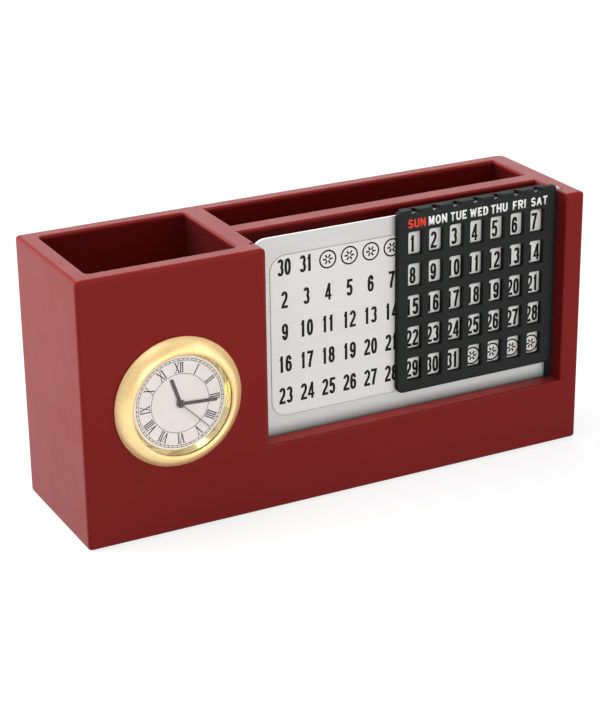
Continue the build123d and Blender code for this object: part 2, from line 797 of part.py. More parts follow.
with BuildPart() as stator:
    movement_block(stator_right - stator_leg, stator_right, stator_front, stator_back,
                   core_bottom, rotor_arbor[1] + stator_upper_reach)
    movement_block(stator_left, stator_left + stator_leg, stator_front, stator_back,
                   crossbar_z, rotor_arbor[1] + stator_upper_reach)
    movement_block(stator_left, stator_right, stator_front, stator_back,
                   rotor_arbor[1] + magnet_radius + magnet_gap, rotor_arbor[1] + stator_upper_reach)
    movement_block(core_left, stator_left + stator_leg, stator_front, stator_back,
                   crossbar_z, crossbar_z + stator_leg)
    movement_block(core_left, core_left + stator_leg, stator_front, stator_back,
                   core_bottom, crossbar_z)
    ring(0, magnet_radius + magnet_gap, stator_front, stator_back, rotor_arbor, Mode.SUBTRACT)
stator.part.label = "stator"
export_step(stator.part, "parts/stator.step")

with BuildPart() as coil_core:
    movement_block(core_left, stator_right, stator_back, core_back, core_bottom, core_top)
coil_core.part.label = "coil_core"
export_step(coil_core.part, "parts/coil_core.step")

coil_left = core_left + stator_leg + coil_end_gap
coil_right = stator_right - stator_leg - coil_end_gap
with BuildPart() as coil:
    winding_plane = Plane(origin=(clock_x + coil_left, front_y + core_middle, clock_z + coil_z),
                          x_dir=(0, 1, 0), z_dir=(1, 0, 0))
    with BuildSketch(winding_plane):
        Circle(coil_winding_radius)
    extrude(amount=coil_right - coil_left)
    with BuildSketch(winding_plane, winding_plane.offset(coil_right - coil_left - coil_flange)):
        Circle(coil_radius)
    extrude(amount=coil_flange)
    movement_block(coil_left, coil_right, stator_back, core_back, core_bottom, core_top,
                   Mode.SUBTRACT)
coil.part.label = "coil"
export_step(coil.part, "parts/coil.step")

board_back = cover_back + board_thick
with BuildPart() as circuit_board:
    movement_block(board_left, board_right, cover_back, board_back, board_bottom, board_top)
circuit_board.part.label = "circuit_board"
export_step(circuit_board.part, "parts/circuit_board.step")

with BuildPart() as quartz_can:
    can_plane = Plane(origin=(clock_x + board_left + board_margin, front_y + board_back + can_radius,
                              clock_z + board_bottom + board_margin + can_radius),
                      x_dir=(0, 1, 0), z_dir=(1, 0, 0))
    with BuildSketch(can_plane):
        Circle(can_radius)
    extrude(amount=can_length)
quartz_can.part.label = "quartz_can"
export_step(quartz_can.part, "parts/quartz_can.step")

with BuildPart() as timing_chip:
    movement_block(board_left + 2 * board_margin, board_left + 2 * board_margin + chip_side,
                   board_back, board_back + chip_thick,
                   board_top - board_margin - chip_side, board_top - board_margin)
timing_chip.part.label = "timing_chip"
export_step(timing_chip.part, "parts/timing_chip.step")

cell_place = (0.0, cell_height_above_axis)
cell_back = cover_back + cell_height
with BuildPart() as button_cell:
    ring(0, cell_radius, cover_back, cell_back, cell_place)
    fillet(button_cell.edges(), cell_round)
button_cell.part.label = "button_cell"
export_step(button_cell.part, "parts/button_cell.step")

with BuildPart() as battery_clip:
    clip_leg_x = cell_radius + clip_gap
    movement_block(-cell_radius / 2, clip_leg_x + clip_thick, cell_back, cell_back + clip_thick,
                   cell_height_above_axis - clip_width / 2, cell_height_above_axis + clip_width / 2)
    movement_block(clip_leg_x, clip_leg_x + clip_thick, cover_back, cell_back,
                   cell_height_above_axis - clip_width / 2, cell_height_above_axis + clip_width / 2)
battery_clip.part.label = "battery_clip"
export_step(battery_clip.part, "parts/battery_clip.step")
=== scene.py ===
import json
from math import copysign, cos, radians, sin

import bmesh
import bpy
from mathutils import Matrix, Vector


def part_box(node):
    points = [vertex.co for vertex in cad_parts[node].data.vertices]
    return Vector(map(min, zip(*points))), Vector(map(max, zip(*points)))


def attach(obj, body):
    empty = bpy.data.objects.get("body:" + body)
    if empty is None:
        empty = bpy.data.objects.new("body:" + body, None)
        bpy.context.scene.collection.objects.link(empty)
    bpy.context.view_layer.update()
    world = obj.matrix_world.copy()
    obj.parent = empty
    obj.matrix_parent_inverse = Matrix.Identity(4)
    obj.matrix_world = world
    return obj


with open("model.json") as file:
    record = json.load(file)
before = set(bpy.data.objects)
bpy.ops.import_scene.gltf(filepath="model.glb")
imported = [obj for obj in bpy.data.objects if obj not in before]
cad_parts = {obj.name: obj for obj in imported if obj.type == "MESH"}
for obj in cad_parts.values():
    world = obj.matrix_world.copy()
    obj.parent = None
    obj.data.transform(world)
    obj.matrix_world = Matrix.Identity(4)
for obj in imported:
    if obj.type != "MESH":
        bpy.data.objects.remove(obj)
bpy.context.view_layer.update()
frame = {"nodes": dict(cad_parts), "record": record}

nodes = frame["nodes"]
scene = bpy.context.scene
mm = 0.001

# ---------------------------------------------------------------- sizes

ink_thickness = 0.02 * mm
front_turn = Matrix.Rotation(radians(90), 4, "X")

date_rows = 5
date_columns = 13
column_pitch = 8.72 * mm
row_pitch = 12.2 * mm
top_row_drop = 4.5 * mm
date_height = 6.35 * mm
date_width_share = 0.4
date_stroke_share = 0.16
date_gap_share = 0.05
date_shift = 0.2 * mm
free_ring_radius = 3.2 * mm
free_ring_line = 0.6 * mm
free_ring_steps = 32
free_mark_petals = 6
one_width_share = 0.3
one_advance_share = 0.36
four_extra_share = 0.02
four_stroke_share = 0.85
film_edge_line = 0.22 * mm
film_corner = 6.0 * mm

weekday_height = 3.38 * mm
weekday_drop = 4.95 * mm
weekday_stroke_share = 0.2
weekday_gap_share = 0.13
weekday_shift = 0.4 * mm
weekday_w_stroke_share = 0.8

numeral_radius = 13.2 * mm
numeral_height = 3.8 * mm
track_outer_radius = 16.5 * mm
track_inner_radius = 15.75 * mm
centre_ring_radius = 10.9 * mm
dial_line = 0.18 * mm
dial_ring_steps = 120
tick_line = 0.22 * mm
hour_tick_line = 0.32 * mm

# Characters are drawn one unit high: points this near are one point.
weld_distance = 1e-5
same_point = 1e-6


# ---------------------------------------------------------------- finishes

# A wave texture of scale 1 repeats every 0.314 units.
wave_scale = 0.314


def tone(red, green, blue):
    """A paint colour from 0 to 255 as the linear colour that a shader takes."""
    shares = [value / 255 for value in (red, green, blue)]
    return (*(share / 12.92 if share <= 0.04045 else ((share + 0.055) / 1.055) ** 2.4 for share in shares), 1)


def feed(tree, socket, value):
    """Links a node's output to a socket, or sets the socket's own value."""
    if isinstance(value, bpy.types.NodeSocket):
        tree.links.new(value, socket)
    else:
        socket.default_value = value


def add_node(tree, kind, inputs=None, **settings):
    """Adds a node to a tree, makes its settings and feeds its inputs."""
    made = tree.nodes.new(kind)
    for setting, value in settings.items():
        setattr(made, setting, value)
    for socket, value in (inputs or {}).items():
        feed(tree, made.inputs[socket], value)
    return made


class Finish:
    """A procedural material, with short ways to add its patterns."""

    def __init__(self, name, **sockets):
        self.material = bpy.data.materials.new(name)
        self.material.use_nodes = True
        self.tree = self.material.node_tree
        self.shader = self.tree.nodes["Principled BSDF"]
        self.place = self.add("ShaderNodeTexCoord").outputs["Object"]
        self.normal = None
        for socket, value in sockets.items():
            self.set(socket.replace("_", " ").capitalize(), value)

    def add(self, kind, inputs=None, **settings):
        return add_node(self.tree, kind, inputs, **settings)

    def set(self, socket, value):
        """Feeds a socket of the shader, whose name may be written in any case."""
        named = {key.lower(): key for key in self.shader.inputs.keys()}
        feed(self.tree, self.shader.inputs[named[socket.lower()]], value)

    def maths(self, operation, *values, clamp=False):
        inputs = dict(enumerate(values))
        return self.add("ShaderNodeMath", inputs, operation=operation, use_clamp=clamp).outputs[0]

    def spread(self, value, low, high, to_low=0.0, to_high=1.0):
        """Turns value's reach from low to high into to_low to to_high."""
        inputs = {"Value": value, "From Min": low, "From Max": high, "To Min": to_low, "To Max": to_high}
        return self.add("ShaderNodeMapRange", inputs).outputs["Result"]

    def placed(self, size, stretch=(1, 1, 1), centre=(0, 0, 0)):
        """Object coordinates about centre, in units of size, drawn out by stretch."""
        scale = tuple(1 / (size * share) for share in stretch)
        moved = self.add("ShaderNodeVectorMath", {0: self.place, 1: tuple(centre)}, operation="SUBTRACT")
        return self.add("ShaderNodeMapping", {"Vector": moved.outputs[0], "Scale": scale}).outputs[0]

    def cloud(self, size, detail=3.0, stretch=(1, 1, 1), rough=0.5):
        """Soft noise with lumps about size across."""
        inputs = {"Vector": self.placed(size, stretch), "Scale": 1.0, "Detail": detail, "Roughness": rough}
        return self.add("ShaderNodeTexNoise", inputs).outputs["Fac"]

    def cells(self, size, feature="F1"):
        inputs = {"Vector": self.placed(size), "Scale": 1.0}
        return self.add("ShaderNodeTexVoronoi", inputs, feature=feature).outputs["Distance"]

    def rings(self, centre, size, wander=0.0):
        """Turned grooves size apart, round an arbor that runs along the part's depth."""
        inputs = {"Vector": self.placed(1.0, centre=centre), "Scale": wave_scale / size, "Distortion": wander}
        return self.add("ShaderNodeTexWave", inputs, wave_type="RINGS", rings_direction="Y").outputs["Fac"]

    def mixed(self, share, first, second):
        """The second colour over the first, as far as share says."""
        inputs = {0: share, 6: first, 7: second}
        return self.add("ShaderNodeMix", inputs, data_type="RGBA").outputs[2]

    def relief(self, height, depth, strength=1.0):
        """Adds a bump that is depth metres high to those before it."""
        inputs = {"Height": height, "Distance": depth, "Strength": strength}
        if self.normal:
            inputs["Normal"] = self.normal
        self.normal = self.add("ShaderNodeBump", inputs).outputs["Normal"]
        feed(self.tree, self.shader.inputs["Normal"], self.normal)
        return self


def nearness(finish, low, high, reach):
    """One on the outer arrises of the block from low to high, and zero reach away from them."""
    split = finish.add("ShaderNodeSeparateXYZ", {"Vector": finish.place})
    gaps = []
    for axis in range(3):
        middle = (low[axis] + high[axis]) / 2
        half = (high[axis] - low[axis]) / 2
        away = finish.maths("ABSOLUTE", finish.maths("SUBTRACT", split.outputs[axis], middle))
        gaps.append(finish.maths("SUBTRACT", half, away))
    nearer = finish.maths("MINIMUM", gaps[0], gaps[1])
    further = finish.maths("MAXIMUM", gaps[0], gaps[1])
    second = finish.maths("MAXIMUM", nearer, finish.maths("MINIMUM", further, gaps[2]))
    return finish.spread(second, 0.0, reach, 1.0, 0.0)


def depth_inside(finish, reach):
    """One on the wells' and slots' walls from reach below the rim, less deeper down, zero outside: where
    painted shade goes.
    """
    low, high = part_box("base_panel")
    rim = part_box("clock_panel")[1].z
    split = finish.add("ShaderNodeSeparateXYZ", {"Vector": finish.place})
    outside = []
    for axis in range(2):
        middle = (low[axis] + high[axis]) / 2
        away = finish.maths("ABSOLUTE", finish.maths("SUBTRACT", split.outputs[axis], middle))
        outside.append(finish.maths("SUBTRACT", away, (high[axis] - low[axis]) / 2))
    within = finish.spread(finish.maths("MAXIMUM", *outside), 0.1 * mm, 0.5 * mm, 1.0, 0.0)
    below = finish.spread(split.outputs["Z"], rim - reach, rim - 0.5 * mm, 1.0, 0.0)
    deep = finish.spread(split.outputs["Z"], rim - 30 * mm, rim - reach, 0.3, 1.0)
    return finish.maths("MULTIPLY", within, finish.maths("MULTIPLY", below, deep))


def lit_ledge(finish, front):
    """One on the rail's top up to the date plate, where painted light goes, fading towards the right wall, and
    zero elsewhere.
    """
    split = finish.add("ShaderNodeSeparateXYZ", {"Vector": finish.place})
    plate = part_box("date_plate")[0].y
    clock_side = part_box("clock_panel")[1].x
    right_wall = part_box("right_side_panel")[0].x
    behind = finish.spread(split.outputs["Y"], front + 0.7 * mm, front + 1.2 * mm)
    ahead = finish.spread(split.outputs["Y"], plate, plate + 0.3 * mm, 1.0, 0.0)
    right = finish.spread(split.outputs["X"], clock_side - 0.1 * mm, clock_side + 0.1 * mm)
    left = finish.spread(split.outputs["X"], right_wall - 34 * mm, right_wall - 4 * mm, 1.0, 0.0)
    along = finish.maths("MULTIPLY", behind, ahead)
    return finish.maths("MULTIPLY", along, finish.maths("MULTIPLY", right, left))


def maroon_lacquer():
    finish = Finish("maroon_lacquer", specular_ior_level=0.12, sheen_weight=0.08, sheen_roughness=0.3)
    boards = [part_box(name) for name in ("clock_panel", "right_side_panel", "back_panel")]
    low = [min(box[0][axis] for box in boards) for axis in range(3)]
    high = [max(box[1][axis] for box in boards) for axis in range(3)]
    patches = finish.cloud(45 * mm, 2)
    colour = finish.mixed(patches, tone(117, 22, 20), tone(126, 27, 23))
    grain = finish.spread(finish.cloud(3 * mm, 4, (9, 1, 1)), 0.35, 0.75)
    colour = finish.mixed(finish.maths("MULTIPLY", grain, 0.07), colour, tone(98, 16, 15))
    height = finish.add("ShaderNodeSeparateXYZ", {"Vector": finish.place}).outputs["Z"]
    # Painted shade: the lacquer is darker towards the bottom.
    colour = finish.mixed(finish.spread(height, 0.0, 60 * mm, 0.5, 0.0), colour, tone(102, 17, 15))
    arris = nearness(finish, low, high, 1.6 * mm)
    # Lighter arrises: partly wear and partly a painted highlight.
    wear_and_highlight = finish.maths("MULTIPLY", arris, finish.spread(finish.cloud(6 * mm, 3), 0.35, 0.7))
    colour = finish.mixed(finish.maths("MULTIPLY", wear_and_highlight, 0.03), colour, tone(160, 66, 58))
    # Painted light: the rail's top is lighter up to the plate, fading out towards the right wall.
    rail_low, rail_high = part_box("front_rail")
    level = finish.maths("COMPARE", height, rail_high.z, 0.2 * mm)
    ledge = finish.maths("MULTIPLY", level, lit_ledge(finish, rail_low.y))
    colour = finish.mixed(ledge, colour, tone(150, 30, 24))
    # Painted shade: the wells' and slots' walls are darker below the rim.
    inside = depth_inside(finish, 1.8 * mm)
    colour = finish.mixed(finish.maths("MULTIPLY", inside, 0.88), colour, tone(66, 8, 7))
    finish.set("Base Color", colour)
    gloss = finish.spread(finish.cloud(12 * mm, 4), 0.3, 0.7, 0.38, 0.45)
    gloss = finish.maths("ADD", gloss, finish.maths("MULTIPLY", arris, 0.3))
    finish.set("Roughness", finish.maths("SUBTRACT", gloss, finish.maths("MULTIPLY", inside, 0.15)))
    finish.relief(finish.cloud(9 * mm, 2), 0.02 * mm, 0.4)
    finish.relief(finish.cloud(0.9 * mm, 2), 0.004 * mm, 0.5)
    return finish.material


def pad_felt():
    finish = Finish("pad_felt", roughness=0.95, sheen_weight=0.35, sheen_roughness=0.5)
    fibres = finish.cloud(0.35 * mm, 6, (3, 1, 1), 0.7)
    finish.set("Base Color", finish.mixed(finish.spread(fibres, 0.3, 0.7), tone(48, 20, 20), tone(92, 48, 45)))
    finish.relief(fibres, 0.12 * mm, 0.9).relief(finish.cells(1.4 * mm), 0.1 * mm, 0.4)
    return finish.material


def brushed_metal(name, light, dark, streak, roughness, along=(60, 1, 1)):
    """Metal with fine brushing along one axis."""
    finish = Finish(name, metallic=1.0)
    fine = finish.cloud(streak, 5, along, 0.65)
    broad = finish.cloud(22 * mm, 2)
    colour = finish.mixed(finish.spread(fine, 0.3, 0.7), dark, light)
    finish.set("Base Color", finish.mixed(finish.spread(broad, 0.35, 0.7, 0.0, 0.35), colour, dark))
    finish.set("Roughness", finish.spread(fine, 0.3, 0.7, roughness + 0.06, roughness - 0.05))
    finish.relief(fine, streak * 0.02, 0.5)
    return finish.material


def brushed_plate():
    """Brushed steel, with painted shade where it stands behind the rail's top and a cooler painted reflection
    for a little above it.
    """
    finish = Finish("brushed_plate", metallic=0.4, specular_ior_level=0.3)
    fine = finish.cloud(0.25 * mm, 5, (60, 1, 1), 0.65)
    broad = finish.cloud(18 * mm, 2, (2, 1, 1))
    colour = finish.mixed(finish.spread(fine, 0.3, 0.7), tone(194, 192, 191), tone(206, 204, 202))
    colour = finish.mixed(finish.spread(broad, 0.35, 0.7, 0.0, 0.5), colour, tone(187, 186, 184))
    rail_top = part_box("front_rail")[1].z
    split = finish.add("ShaderNodeSeparateXYZ", {"Vector": finish.place})
    above = finish.spread(split.outputs["Z"], rail_top - 1.6 * mm, rail_top - 0.4 * mm)
    # Painted reflection: a cooler tint for a little above the rail's top.
    tint = finish.spread(split.outputs["Z"], rail_top, rail_top + 9 * mm, 0.8, 0.0)
    colour = finish.mixed(finish.maths("MULTIPLY", tint, above), colour, tone(190, 202, 201))
    # Painted shade: dark just above the rail's top.
    corner = finish.spread(split.outputs["Z"], rail_top, rail_top + 4.0 * mm, 1.0, 0.0)
    shade = finish.maths("MULTIPLY", finish.maths("POWER", corner, 2.2), finish.maths("MULTIPLY", above, 0.78))
    finish.set("Base Color", finish.mixed(shade, colour, tone(58, 66, 66)))
    finish.set("Roughness", finish.spread(fine, 0.3, 0.7, 0.4, 0.3))
    finish.relief(fine, 0.005 * mm, 0.5)
    return finish.material


def printed_film():
    finish = Finish("printed_film", metallic=0.1, specular_ior_level=0.25)
    fine = finish.cloud(0.3 * mm, 5, (45, 1, 1), 0.6)
    colour = finish.mixed(finish.spread(fine, 0.2, 0.8), tone(218, 217, 213), tone(225, 224, 221))
    broad = finish.spread(finish.cloud(30 * mm, 2), 0.4, 0.7, 0, 0.4)
    finish.set("Base Color", finish.mixed(broad, colour, tone(213, 212, 209)))
    finish.set("Roughness", finish.spread(finish.cloud(4 * mm, 4), 0.3, 0.7, 0.38, 0.48))
    finish.relief(fine, 0.004 * mm, 0.4)
    return finish.material


def printing_ink(name, colour, thin):
    """Screen print ink that covers a little less in small spots."""
    finish = Finish(name, roughness=0.5, specular_ior_level=0.15)
    spots = finish.spread(finish.cloud(0.25 * mm, 4), 0.55, 0.8)
    finish.set("Base Color", finish.mixed(finish.maths("MULTIPLY", spots, 0.5), colour, thin))
    finish.set("Roughness", finish.spread(finish.cloud(1.2 * mm, 3), 0.3, 0.7, 0.42, 0.58))
    finish.relief(finish.cloud(0.15 * mm, 3), 0.004 * mm, 0.5)
    return finish.material


def moulded(name, light, dark, roughness, grain, depth, **sockets):
    """Moulded plastic or rubber with a fine even grain."""
    finish = Finish(name, **sockets)
    lumps = finish.cloud(grain, 3)
    tint = finish.spread(finish.cloud(grain * 30, 3), 0.3, 0.7)
    finish.set("Base Color", finish.mixed(tint, dark, light))
    finish.set("Roughness", finish.spread(lumps, 0.3, 0.7, roughness - 0.05, roughness + 0.08))
    finish.relief(lumps, depth, 0.6)
    return finish.material


def black_frame():
    """Matt black on the face, with painted shade down the sides of the windows and round the edges."""
    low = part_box("week_frame")[0]
    finish = Finish("black_frame", specular_ior_level=0.15)
    lumps = finish.cloud(0.25 * mm, 3)
    split = finish.add("ShaderNodeSeparateXYZ", {"Vector": finish.place})
    # Painted shade on all that lies behind the front face.
    depth = finish.spread(split.outputs["Y"], low.y + 0.15 * mm, low.y + 0.9 * mm)
    face = finish.mixed(finish.spread(finish.cloud(8 * mm, 3), 0.3, 0.7), tone(19, 20, 20), tone(23, 24, 25))
    finish.set("Base Color", finish.mixed(depth, face, tone(9, 9, 10)))
    grain = finish.spread(lumps, 0.3, 0.7, 0.33, 0.44)
    finish.set("Roughness", finish.maths("ADD", grain, finish.maths("MULTIPLY", depth, 0.25)))
    finish.relief(lumps, 0.006 * mm, 0.6)
    return finish.material


def gold_ring():
    low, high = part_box("clock_bezel")
    finish = Finish("gold_ring")
    centre = (low + high) / 2
    turned = finish.rings(centre, 0.12 * mm, 0.3)
    # Random smudges, and darker spots at the top, bottom and right as painted shade in the gold's reflection.
    smudge_and_shade = finish.spread(finish.cloud(7 * mm, 3), 0.45, 0.75, 0.0, 0.5)
    for across, up, reach, share in ((-5, 21, 11, 0.6), (6, -22, 18, 1.0), (22, 0, 9, 0.3)):
        spot = tuple(centre + Vector((across * mm, 0, up * mm)))
        away = finish.add("ShaderNodeVectorMath", {0: finish.place, 1: spot}, operation="DISTANCE")
        near = finish.spread(away.outputs["Value"], 0.0, reach * mm, share, 0.0)
        smudge_and_shade = finish.maths("MAXIMUM", smudge_and_shade, near)
    colour = finish.mixed(smudge_and_shade, tone(246, 214, 152), tone(224, 181, 118))
    away = finish.add("ShaderNodeVectorMath", {0: finish.place, 1: tuple(centre)}, operation="SUBTRACT")
    split = finish.add("ShaderNodeSeparateXYZ", {"Vector": away.outputs[0]})
    flat = finish.add("ShaderNodeCombineXYZ", {"X": split.outputs["X"], "Z": split.outputs["Z"]})
    radius = finish.add("ShaderNodeVectorMath", {0: flat.outputs[0]}, operation="LENGTH").outputs["Value"]
    reveal_radius, seat_radius = 18.5 * mm, 18.6 * mm
    crest_inner, crest_outer = 18.9 * mm, 19.3 * mm
    rim_radius = (high.x - low.x) / 2
    inner = finish.spread(radius, reveal_radius, seat_radius, 1.0, 0.0)
    outer = finish.spread(radius, rim_radius - 2.4 * mm, rim_radius - 0.9 * mm)
    colour = finish.mixed(outer, colour, tone(252, 220, 156))
    # Painted shade: a darker band on the inner crest.
    crest = finish.spread(radius, crest_outer, crest_inner)
    colour = finish.mixed(finish.maths("MULTIPLY", crest, 0.6), colour, tone(186, 150, 92))
    finish.set("Base Color", finish.mixed(inner, colour, tone(232, 212, 150)))
    finish.set("Metallic", finish.spread(finish.maths("SUBTRACT", inner, outer), -1.0, 1.0, 0.15, 0.95))
    shine = finish.spread(smudge_and_shade, 0, 1, 0.26, 0.36)
    finish.set("Roughness", finish.maths("SUBTRACT", shine, finish.maths("MULTIPLY", inner, 0.18)))
    finish.relief(turned, 0.0006 * mm, 0.35).relief(finish.cloud(3 * mm, 2), 0.006 * mm, 0.4)
    return finish.material


def clock_glass():
    finish = Finish("clock_glass")
    film = finish.cloud(5 * mm, 4)
    finish.relief(finish.cloud(10 * mm, 1), 0.003 * mm, 0.3)
    clear = finish.add("ShaderNodeBsdfTransparent", {"Color": (1, 1, 1, 1)})
    haze = finish.spread(film, 0.4, 0.8, 0.02, 0.12)
    gloss = finish.add("ShaderNodeBsdfGlossy", {"Roughness": haze, "Normal": finish.normal})
    glint = finish.add("ShaderNodeFresnel", {"IOR": 1.46}).outputs[0]
    front = finish.maths("SUBTRACT", 1.0, finish.add("ShaderNodeNewGeometry").outputs["Backfacing"])
    share = finish.maths("MULTIPLY", glint, front)
    both = finish.add("ShaderNodeMixShader", {0: share, 1: clear.outputs[0], 2: gloss.outputs[0]})
    feed(finish.tree, finish.tree.nodes["Material Output"].inputs["Surface"], both.outputs[0])
    finish.tree.nodes.remove(finish.shader)
    return finish.material


def dial_white():
    finish = Finish("dial_white", specular_ior_level=0.35)
    pulp = finish.cloud(0.12 * mm, 4)
    mottle = finish.spread(finish.cloud(3 * mm, 4), 0.3, 0.7)
    colour = finish.mixed(mottle, tone(242, 233, 231), tone(236, 227, 225))
    finish.set("Base Color", finish.mixed(finish.spread(pulp, 0.55, 0.8, 0, 0.3), colour, tone(238, 230, 230)))
    finish.set("Roughness", finish.spread(pulp, 0.3, 0.7, 0.5, 0.62))
    finish.relief(pulp, 0.003 * mm, 0.4)
    return finish.material


def turned_brass(name, node, light, dark):
    """Stock turned on one arbor, dark where it stands before the node."""
    low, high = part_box(node)
    finish = Finish(name, metallic=1.0)
    grooves = finish.rings((low + high) / 2, 0.05 * mm, 0.5)
    stain = finish.spread(finish.cloud(1.3 * mm, 4), 0.4, 0.75)
    place = finish.add("ShaderNodeSeparateXYZ", {"Vector": finish.place}).outputs["Y"]
    tip = finish.spread(place, low.y - 0.3 * mm, low.y - 0.2 * mm, 1.0, 0.0)
    finish.set("Base Color", finish.mixed(tip, finish.mixed(stain, light, dark), tone(60, 48, 44)))
    finish.set("Roughness", finish.spread(grooves, 0, 1, 0.22, 0.34))
    finish.relief(grooves, 0.001 * mm, 0.4)
    return finish.material


def core_iron():
    finish = Finish("core_iron", metallic=1.0)
    sheets = finish.cloud(0.1 * mm, 2, (80, 1, 80))
    edges = finish.spread(sheets, 0.35, 0.65)
    finish.set("Base Color", finish.mixed(edges, tone(96, 97, 100), tone(142, 142, 144)))
    finish.set("Roughness", finish.spread(finish.cloud(0.8 * mm, 4), 0.3, 0.7, 0.35, 0.5))
    finish.relief(sheets, 0.01 * mm, 0.5)
    return finish.material


def coil_copper():
    finish = Finish("coil_copper", metallic=0.9)
    inputs = {"Vector": finish.placed(1.0), "Scale": wave_scale / (0.1 * mm), "Distortion": 0.6,
              "Detail": 1.0, "Detail Scale": 0.4}
    wires = finish.add("ShaderNodeTexWave", inputs, bands_direction="X").outputs["Fac"]
    finish.set("Base Color", finish.mixed(wires, tone(92, 40, 20), tone(196, 104, 60)))
    finish.set("Roughness", finish.spread(wires, 0, 1, 0.5, 0.28))
    finish.relief(wires, 0.04 * mm, 0.9)
    return finish.material


def board_green():
    finish = Finish("board_green", specular_ior_level=0.5)
    inputs = {"Vector": finish.placed(1.6 * mm), "Color1": (0, 0, 0, 1), "Color2": (0, 0, 0, 1),
              "Mortar": (1, 1, 1, 1), "Scale": 1.0, "Mortar Size": 0.09, "Mortar Smooth": 0.1}
    lines = finish.add("ShaderNodeTexBrick", inputs).outputs["Fac"]
    weave = finish.cloud(0.3 * mm, 3)
    colour = finish.mixed(finish.spread(weave, 0.3, 0.7), tone(18, 74, 44), tone(26, 92, 54))
    finish.set("Base Color", finish.mixed(lines, colour, tone(70, 134, 74)))
    finish.set("Roughness", finish.spread(weave, 0.3, 0.7, 0.3, 0.42))
    finish.relief(lines, 0.03 * mm, 0.6)
    return finish.material


white_ink = printing_ink("weekday_ink", tone(248, 248, 246), tone(205, 205, 205))
red_ink = printing_ink("sunday_ink", tone(240, 70, 42), tone(180, 48, 36))
date_ink = printing_ink("date_ink", tone(4, 4, 4), tone(18, 17, 17))
dial_ink = printing_ink("dial_ink", tone(44, 38, 38), tone(78, 70, 70))
edge_ink = printing_ink("film_edge", tone(160, 160, 157), tone(146, 146, 144))

finishes = {
    "maroon_lacquer": maroon_lacquer(),
    "pad_felt": pad_felt(),
    "brushed_plate": brushed_plate(),
    "printed_film": printed_film(),
    "black_frame": black_frame(),
    "gold_ring": gold_ring(),
    "clock_glass": clock_glass(),
    "dial_white": dial_white(),
    "hand_black": moulded("hand_black", tone(82, 68, 67), tone(70, 58, 58), 0.4, 0.1 * mm, 0.003 * mm,
                          specular_ior_level=0.25),
    "rear_case_black": moulded("rear_case_black", tone(40, 40, 42), tone(26, 26, 28), 0.48, 0.35 * mm,
                               0.03 * mm),
    "band_rubber": moulded("band_rubber", tone(52, 52, 54), tone(36, 36, 38), 0.72, 0.2 * mm, 0.015 * mm),
    "movement_plastic": moulded("movement_plastic", tone(70, 72, 78), tone(54, 56, 62), 0.42, 0.2 * mm,
                                0.01 * mm),
    "wheel_brass": turned_brass("wheel_brass", "clock_dial", tone(222, 180, 98), tone(184, 140, 70)),
    "wheel_plastic": moulded("wheel_plastic", tone(226, 222, 206), tone(206, 200, 180), 0.38, 0.12 * mm,
                             0.006 * mm, subsurface_weight=0.1,
                             subsurface_radius=(0.001, 0.0008, 0.0005)),
    "magnet_grey": brushed_metal("magnet_grey", tone(118, 118, 122), tone(80, 80, 84), 0.2 * mm, 0.42,
                                 (1, 1, 1)),
    "steel_parts": brushed_metal("steel_parts", tone(206, 206, 208), tone(158, 158, 162), 0.12 * mm, 0.26,
                                 (30, 1, 1)),
    "core_iron": core_iron(),
    "coil_copper": coil_copper(),
    "board_green": board_green(),
    "chip_black": moulded("chip_black", tone(34, 34, 36), tone(22, 22, 24), 0.55, 0.1 * mm, 0.006 * mm),
}

for entry in frame["record"]["subparts"]:
    carried = nodes[entry["node"]]
    carried.data.materials.clear()
    carried.data.materials.append(finishes[entry["material_slot"]])


# ---------------------------------------------------------------- printed characters

def bowl(centre, radii, start, end, squareness=2.35, step=15):
    """Points round a squarish bowl, by angle from the right, anticlockwise."""
    count = max(2, round(abs(end - start) / step))
    points = []
    for index in range(count + 1):
        angle = radians(start + (end - start) * index / count)
        across = copysign(abs(cos(angle)) ** (2 / squareness), cos(angle))
        up = copysign(abs(sin(angle)) ** (2 / squareness), sin(angle))
        points.append((centre[0] + radii[0] * across, centre[1] + radii[1] * up))
    return points


